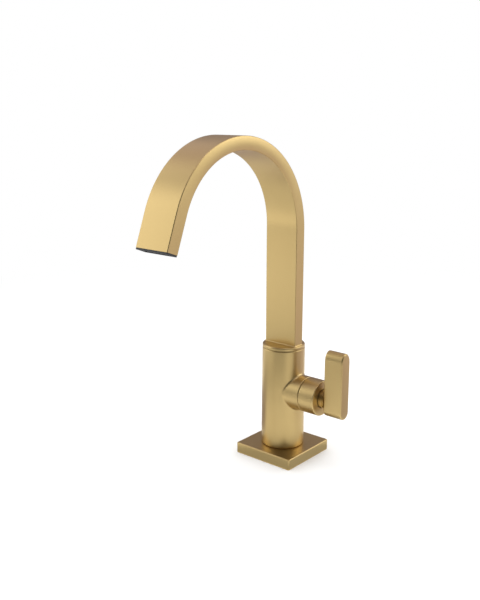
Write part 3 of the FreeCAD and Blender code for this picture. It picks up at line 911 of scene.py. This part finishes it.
@dataclass
class Spout(SubAssembly):
    """Flat tube bent to a gooseneck, in a collar that swivels on the body."""

    bend: Bend = field(default_factory=Bend)
    wall: float = 1.2 * MM
    crown: float = 0.9 * MM
    edge_round: float = 0.5 * MM
    inner_round: float = 0.4 * MM
    corner_steps: int = 5
    side_cuts: int = 7
    rings: int = 170
    bead_radius: float = 0.6 * MM
    bead_sides: int = 4
    width: float = field(init=False)
    thickness: float = field(init=False)
    foot: float = field(init=False)
    collar_top: float = field(init=False)

    def __post_init__(self) -> None:
        """Read the tube's section and foot from the frame."""
        low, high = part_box("spout_tube")
        self.width = high.x - low.x
        self.thickness = 2 * high.y
        self.foot = low.z
        self.collar_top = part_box("spout_foot")[1].z

    def build(self) -> None:
        """Bend the tube, lay the bead at its foot and dress the collar."""
        self.dress(GOLD, "spout_foot")
        self.dress(RUBBER, "spigot_o_rings")
        self.install(self.strip(), Body.SPOUT, Slot.GOLD, "spout_tube")
        self.install(self.bead(), Body.SPOUT, Slot.GOLD)

    def strip(self) -> Object:
        """Make the flat tube straight and then bend it.

        Returns:
            The gooseneck.
        """
        sizes = {
            "Width": self.width,
            "Thickness": self.thickness,
            "Wall": self.wall,
            "Crown": self.crown,
            "Edge Round": self.edge_round,
            "Inner Round": self.inner_round,
            "Foot": self.foot,
            "Riser": self.bend.riser,
            "Arch Radius": self.bend.radius,
            "Arch Turn": self.bend.turn,
            "Nose": self.bend.nose,
            "Rings": self.rings,
        }
        tree = ShapeTree("gooseneck_strip", sizes)
        arch = tree["Arch Radius"] * tree["Arch Turn"]
        tube = self.straight_tube(tree, tree["Riser"] + arch + tree["Nose"])
        return tree.piece("spout_strip", self.bent(tree, tube, arch), GOLD.material())

    def straight_tube(self, tree: ShapeTree, length: Wire) -> Wire:
        """A flat tube along Z with a closed wall.

        Args:
            tree: the tree that it is made in.
            length: the tube's length.

        Returns:
            Skin, lining and the rims at both ends, as one shell.
        """
        outer = self.section(tree, tree["Width"], tree["Thickness"], tree["Edge Round"])
        both = 2 * tree["Wall"]
        inner = self.section(tree, tree["Width"] - both, tree["Thickness"] - both, tree["Inner Round"])
        top = tree.vector(0, 0, length)
        line = tree.line(top, tree["Rings"])
        skin = tree.swept(line, outer)
        lining = tree.turned_over(tree.swept(line, inner))
        outlines = {"Curve": tree.joined(outer, inner)}
        rim = tree.node("GeometryNodeFillCurve", {"mode": "TRIANGLES"}, outlines)
        return tree.welded(tree.joined(skin, lining, tree.turned_over(rim), tree.moved(rim, top)))

    def bent(self, tree: ShapeTree, tube: Wire, arch: Wire) -> Wire:
        """A straight tube bent to the gooseneck, whose arch swells its flanks to a crown.

        Args:
            tree: the tree that it is made in.
            tube: the straight tube.
            arch: the arch's length.

        Returns:
            The bent tube, on its foot.
        """
        riser, radius, turn = tree["Riser"], tree["Arch Radius"], tree["Arch Turn"]
        across, out, along = tree.position()
        angle = tree.limited((along - riser) / radius, 0.0, turn)
        past = tree.math("MAXIMUM", along - riser - arch, 0.0)
        bulge = tree["Crown"] * tree.math("SINE", angle / turn * math.pi)
        flank = 2 * out / tree["Thickness"]
        x = across * (1 - 2 * bulge / tree["Width"] * flank * flank)
        reach = radius + out
        y = reach * tree.math("COSINE", angle) - radius - past * tree.math("SINE", turn)
        level = tree["Foot"] + tree.math("MINIMUM", along, riser)
        z = level + reach * tree.math("SINE", angle) + past * tree.math("COSINE", turn)
        return tree.placed(tube, x, y, z)

    def section(self, tree: ShapeTree, width: Number, thickness: Number, corner: Number) -> Wire:
        """The tube's outline, with points along its flats that crowd towards the corners.

        Args:
            tree: the tree that it is made in.
            width: its size across.
            thickness: its size from front to back.
            corner: the radius of its corners.

        Returns:
            A closed outline in XY.
        """
        outline = tree.rounded_outline(width, thickness, corner, self.corner_steps)
        outline = tree.divided(outline, self.corner_steps, self.side_cuts)
        x, y, _ = tree.position()
        x = tree.crowded(x, width / 2 - corner)
        y = tree.crowded(y, thickness / 2 - corner)
        return tree.placed(outline, x, y, 0)

    def bead(self) -> Object:
        """Lay the fine bead of braze where the tube enters the collar.

        Returns:
            A flat-faced bead, of which only the slope between tube and collar shows.
        """
        sizes = {
            "Width": self.width,
            "Thickness": self.thickness,
            "Edge Round": self.edge_round,
            "Bead Radius": self.bead_radius,
            "Height": self.collar_top,
        }
        tree = ShapeTree("foot_bead", sizes)
        path = tree.rounded_outline(tree["Width"], tree["Thickness"], tree["Edge Round"], self.corner_steps)
        bead = tree.swept(path, tree.polygon(self.bead_sides, tree["Bead Radius"]))
        bead = tree.moved(bead, tree.vector(0, 0, tree["Height"]))
        return tree.piece("spout_foot_bead", bead, GOLD.material())


@dataclass
class Aerator(SubAssembly):
    """Black insert in the outlet, with a fine grid across it."""

    bend: Bend = field(default_factory=Bend)
    width: float = 25.2 * MM
    thickness: float = 5.2 * MM
    depth: float = 2.0 * MM
    proud: float = 0.1 * MM
    bar: float = 0.32 * MM
    columns: int = 19
    rows: int = 4

    def build(self) -> None:
        """Dress the insert and set its grid."""
        self.dress(BLACK, "aerator_housing")
        self.dress(STEEL, "aerator_screen")
        self.dress(RUBBER, "aerator_seal")
        self.install(self.grid(), Body.SPOUT, Slot.BLACK_PLASTIC, "aerator_grid")

    def grid(self) -> Object:
        """Cut the middles out of a sheet of cells and thicken it to bars.

        Returns:
            The grid in the outlet.
        """
        sizes = {
            "Width": self.width,
            "Thickness": self.thickness,
            "Depth": self.depth,
            "Proud": self.proud,
            "Bar": self.bar,
            "Columns": self.columns,
            "Rows": self.rows,
            "Turn": self.bend.turn,
        }
        tree = ShapeTree("outlet_grid", sizes)
        lattice = {
            "Size X": tree["Width"],
            "Size Y": tree["Thickness"],
            "Vertices X": tree["Columns"] + 1,
            "Vertices Y": tree["Rows"] + 1,
        }
        sheet = tree.node("GeometryNodeMeshGrid", NOTHING, lattice)
        apart = {"Mesh": sheet, "Offset Scale": 0.0, "Individual": True}
        cells = tree.node("GeometryNodeExtrudeMesh", NOTHING, apart)
        middle = cells.beside("Top")
        open_share = 1 - tree["Bar"] * tree["Columns"] / tree["Width"]
        shrunk = {"Geometry": cells, "Selection": middle, "Scale": open_share}
        cells = tree.node("GeometryNodeScaleElements", NOTHING, shrunk)
        holes = {"Geometry": cells, "Selection": middle}
        bars = tree.node("GeometryNodeDeleteGeometry", {"domain": "FACE"}, holes)
        thick = {"Mesh": bars, "Offset Scale": tree["Depth"], "Individual": False}
        bars = tree.joined(tree.node("GeometryNodeExtrudeMesh", NOTHING, thick), tree.turned_over(bars))
        bars = tree.moved(tree.welded(bars), tree.vector(0, 0, tree["Proud"] - tree["Depth"]))
        outlet = self.bend.end(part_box("spout_tube")[0].z)
        bars = tree.moved(bars, outlet, tree.vector(tree["Turn"], 0, 0))
        return tree.piece("aerator_mesh", bars, BLACK.material())


def direction(azimuth: float, elevation: float) -> Vector:
    """The way from the object towards a viewer.

    Args:
        azimuth: radians round the object from the front, which is at -Y, towards +X.
        elevation: radians above the level.

    Returns:
        A vector of length 1.
    """
    level = math.cos(elevation)
    return Vector((math.sin(azimuth) * level, -math.cos(azimuth) * level, math.sin(elevation)))


@dataclass(frozen=True)
class Softbox:
    """A soft lamp that faces the object, with its angles in degrees."""

    name: str
    azimuth: float
    elevation: float
    distance: float
    width: float
    height: float
    radiance: float

    def place(self, target: Vector) -> None:
        """Hang the lamp and aim it.

        Args:
            target: the point that it faces.
        """
        lamp = bpy.data.lights.new(self.name, "AREA")
        lamp.shape = "RECTANGLE"
        lamp.size = self.width
        lamp.size_y = self.height
        lamp.energy = self.radiance * math.pi * self.width * self.height
        towards = direction(math.radians(self.azimuth), math.radians(self.elevation))
        holder = added(self.name, lamp)
        holder.location = target + towards * self.distance
        holder.rotation_euler = towards.to_track_quat("Z", "Y").to_euler()


@dataclass(frozen=True)
class Card:
    """A card bent round the object that only shows in the metal: a dim or bright side of the studio, or
    painted shade or painted light on the floor.

    It goes from one azimuth to another, in degrees. Its two long edges are arcs, each given by its
    radius and its height.
    """

    name: str
    start: float
    end: float
    lower: tuple[float, float]
    upper: tuple[float, float]
    brightness: float
    tint: Colour = WHITE_LIGHT
    panels: int = 36

    def place(self, target: Vector) -> None:
        """Put the card up.

        Args:
            target: the point that it is bent round.
        """
        corners: list[Vector] = []
        for number in range(self.panels + 1):
            azimuth = self.start + (self.end - self.start) * number / self.panels
            outwards = direction(math.radians(azimuth), 0)
            for radius, height in (self.lower, self.upper):
                corners.append(Vector((target.x, target.y, height)) + outwards * radius)
        first_corners = range(0, 2 * self.panels, 2)
        faces = [(corner, corner + 2, corner + 3, corner + 1) for corner in first_corners]
        mesh = bpy.data.meshes.new(self.name)
        mesh.from_pydata(corners, [], faces)
        tree = MaterialTree(self.name)
        mesh.materials.append(tree.close(tree.emission(self.tint, self.brightness)))
        card = added(self.name, mesh)
        card.visible_camera = False
        card.visible_diffuse = False
        card.visible_shadow = False


@dataclass(frozen=True)
class PhotoCamera:
    """The photograph's viewpoint, with the sensor along the picture's long side."""

    azimuth: float = math.radians(40.42)
    pitch: float = math.radians(13.85)
    lens: float = 46.604
    sensor: float = 36.0
    distance: float = 0.60958
    aside: float = -0.03588
    height: float = 0.28166
    near: float = 0.01

    def place(self) -> None:
        """Set up the scene's camera."""
        data = bpy.data.cameras.new("photo_camera")
        data.sensor_width = self.sensor
        data.lens = self.lens
        data.clip_start = self.near
        camera = added("photo_camera", data)
        back = direction(self.azimuth, 0)
        right = Vector((math.cos(self.azimuth), math.sin(self.azimuth), 0))
        camera.location = back * self.distance + right * self.aside + Vector((0, 0, self.height))
        camera.rotation_euler = Euler((QUARTER_TURN - self.pitch, 0, self.azimuth))
        bpy.context.scene.camera = camera


@dataclass
class Studio:
    """White surroundings, a pale floor, soft lamps, cards and the camera."""

    floor_size: float = 12.0
    floor_colour: Colour = (0.95, 0.95, 0.95)
    white_from: float = 0.2
    white_to: float = 0.8
    ambient: float = 1.15
    seen_white: float = 1.0
    target: Vector = field(default_factory=lambda: Vector((0, 0, 0.13)))
    camera: PhotoCamera = PhotoCamera()
    lamps: tuple[Softbox, ...] = (
        Softbox("left_softbox", -55, 22, 1.05, 0.9, 0.7, 0.95),
        Softbox("rear_right_softbox", 138, 17, 1.15, 0.7, 0.4, 0.75),
        Softbox("overhead_softbox", 60, 84, 0.9, 0.25, 0.25, 4.0),
    )
    cards: tuple[Card, ...] = (
        Card("camera_side_card", -39, 60, (ROOM, 0.0), (ROOM, CEILING), 0.08),
        Card("right_card", 60, 105, (ROOM, 0.0), (ROOM, CEILING), 0.25),
        Card("back_right_card", 105, 165, (ROOM, 0.62), (ROOM, CEILING), 2.1),
        Card("back_card", 165, 235, (ROOM, MID_WALL), (ROOM, CEILING), 0.5, ROSE_LIGHT),
        Card("back_low_card", 165, 205, (ROOM, 0.0), (ROOM, MID_WALL), 0.55, ROSE_LIGHT),
        Card("back_left_card", 205, 280, (ROOM, 0.0), (ROOM, MID_WALL), 0.26, ROSE_LIGHT),
        Card("back_left_high_card", 235, 265, (ROOM, MID_WALL), (ROOM, CEILING), 0.8, ROSE_LIGHT),
        Card("left_high_card", 288, 325, (ROOM, 1.0), (ROOM, CEILING), 0.6),
        Card("left_back_high_card", 265, 288, (ROOM, MID_WALL), (ROOM, CEILING), 1.5),
        Card("ceiling_card", 0, 360, (0.02, CEILING), (ROOM, CEILING), 0.62, ROSE_LIGHT),
        # The cards from here on lie on the floor or stand low on it and show only in the metal: they are
        # painted shadow where dimmer than the floor and painted pools of light where brighter.
        Card("front_floor_card", -15, 48, (0.2, LIFT), (ROOM, LIFT), 0.52),
        Card("front_right_floor_card", 48, 98, (0.2, LIFT), (ROOM, LIFT), 1.02),
        Card("front_near_floor_card", 5, 98, (0.052, LIFT), (0.2, LIFT), 1.22),
        Card("right_floor_card", 98, 135, (0.12, LIFT), (0.42, LIFT), 0.58, ROSE_LIGHT),
        Card("right_back_floor_card", 135, 170, (0.12, LIFT), (0.42, LIFT), 0.74, ROSE_LIGHT),
        Card("right_far_floor_card", 95, 170, (0.42, LIFT), (0.8, LIFT), 0.92, ROSE_LIGHT),
        Card("right_outer_floor_card", 95, 170, (0.8, LIFT), (ROOM, LIFT), 0.7, ROSE_LIGHT),
        Card("back_left_floor_card", 190, 255, (0.25, LIFT), (ROOM, LIFT), 0.5, ROSE_LIGHT),
        Card("left_near_floor_card", 230, 300, (0.055, LIFT), (0.17, LIFT), 0.45, ROSE_LIGHT),
        # A low strip on the floor, seen only in the metal: painted shade that hides the bright floor beyond
        # it from the lower body's reflections.
        Card("left_strip_card", -85, -8, (0.17, 0.0), (0.17, 0.034), 0.5),
        Card("left_floor_card", -75, -15, (0.22, LIFT), (0.5, LIFT), 0.95),
        Card("left_far_floor_card", -75, -20, (0.5, LIFT), (ROOM, LIFT), 1.7),
        # A ring on the floor round the plate, seen only in the metal: a painted contact shadow.
        Card("plate_shade_card", 0, 360, (0.01, 0.001), (0.048, 0.001), 0.55),
    )

    def build(self) -> None:
        """Set up everything round the object."""
        scene = bpy.context.scene
        scene.view_settings.view_transform = "Standard"
        scene.world = self.surroundings()
        self.floor()
        for item in self.lamps + self.cards:
            item.place(self.target)
        self.camera.place()
        log.info("set up the studio with %d lamps and %d cards", len(self.lamps), len(self.cards))

    @staticmethod
    def seen_directly(tree: Tree) -> Wire:
        """Tell what is looked at from what only gives light.

        Args:
            tree: the tree that it is made in.

        Returns:
            1 for what the camera sees, also in metal and through glass, and 0 for other light.
        """
        camera = tree.node("ShaderNodeLightPath", output="Is Camera Ray")
        in_metal = tree.math("MAXIMUM", camera, camera.beside("Is Glossy Ray"))
        return tree.math("MAXIMUM", in_metal, camera.beside("Is Transmission Ray"))

    def surroundings(self) -> World:
        """Make the world.

        Returns:
            A world that is white to look at and gives a plain level of light.
        """
        world = bpy.data.worlds.new("white_studio")
        world.use_nodes = True
        tree = Tree(world.node_tree)
        tree.nodes.nodes.clear()
        kind = "ShaderNodeBackground"
        colour = (*WHITE_LIGHT, 1)
        light = tree.node(kind, NOTHING, {"Color": colour, "Strength": self.ambient})
        white = tree.node(kind, NOTHING, {"Color": colour, "Strength": self.seen_white})
        sockets = {0: self.seen_directly(tree), 1: light, 2: white}
        mixed = tree.node("ShaderNodeMixShader", NOTHING, sockets)
        tree.node("ShaderNodeOutputWorld", NOTHING, {"Surface": mixed})
        return world

    def floor(self) -> Object:
        """Lay the floor.

        Returns:
            A pale floor that keeps the object's shadow and turns white far away.
        """
        half = self.floor_size / 2
        corners = [(-half, -half, 0), (half, -half, 0), (half, half, 0), (-half, half, 0)]
        mesh = bpy.data.meshes.new("pale_floor")
        mesh.from_pydata(corners, [], [(0, 1, 2, 3)])
        tree = MaterialTree("pale_floor")
        matt = tree.node("ShaderNodeBsdfDiffuse", NOTHING, {"Color": (*self.floor_colour, 1)})
        white = tree.emission(WHITE_LIGHT, self.seen_white)
        distance = tree.node("ShaderNodeVectorMath", {"operation": "LENGTH"}, {0: tree.place}, "Value")
        span = {"Value": distance, "From Min": self.white_from, "From Max": self.white_to}
        far = tree.node("ShaderNodeMapRange", {"interpolation_type": "SMOOTHSTEP"}, span)
        sockets = {0: self.seen_directly(tree) * far, 1: matt, 2: white}
        mesh.materials.append(tree.close(tree.node("ShaderNodeMixShader", NOTHING, sockets)))
        return added("pale_floor", mesh)


def main() -> None:
    """Build the mixer's sub-assemblies in order, then the studio."""
    logging.basicConfig(level=logging.INFO, format="%(name)s: %(message)s")
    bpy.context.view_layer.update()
    for kind in (Base, Casting, Cartridge, Lever, Spout, Aerator):
        kind().build()
    Studio().build()


if __name__ == "__main__":
    main()
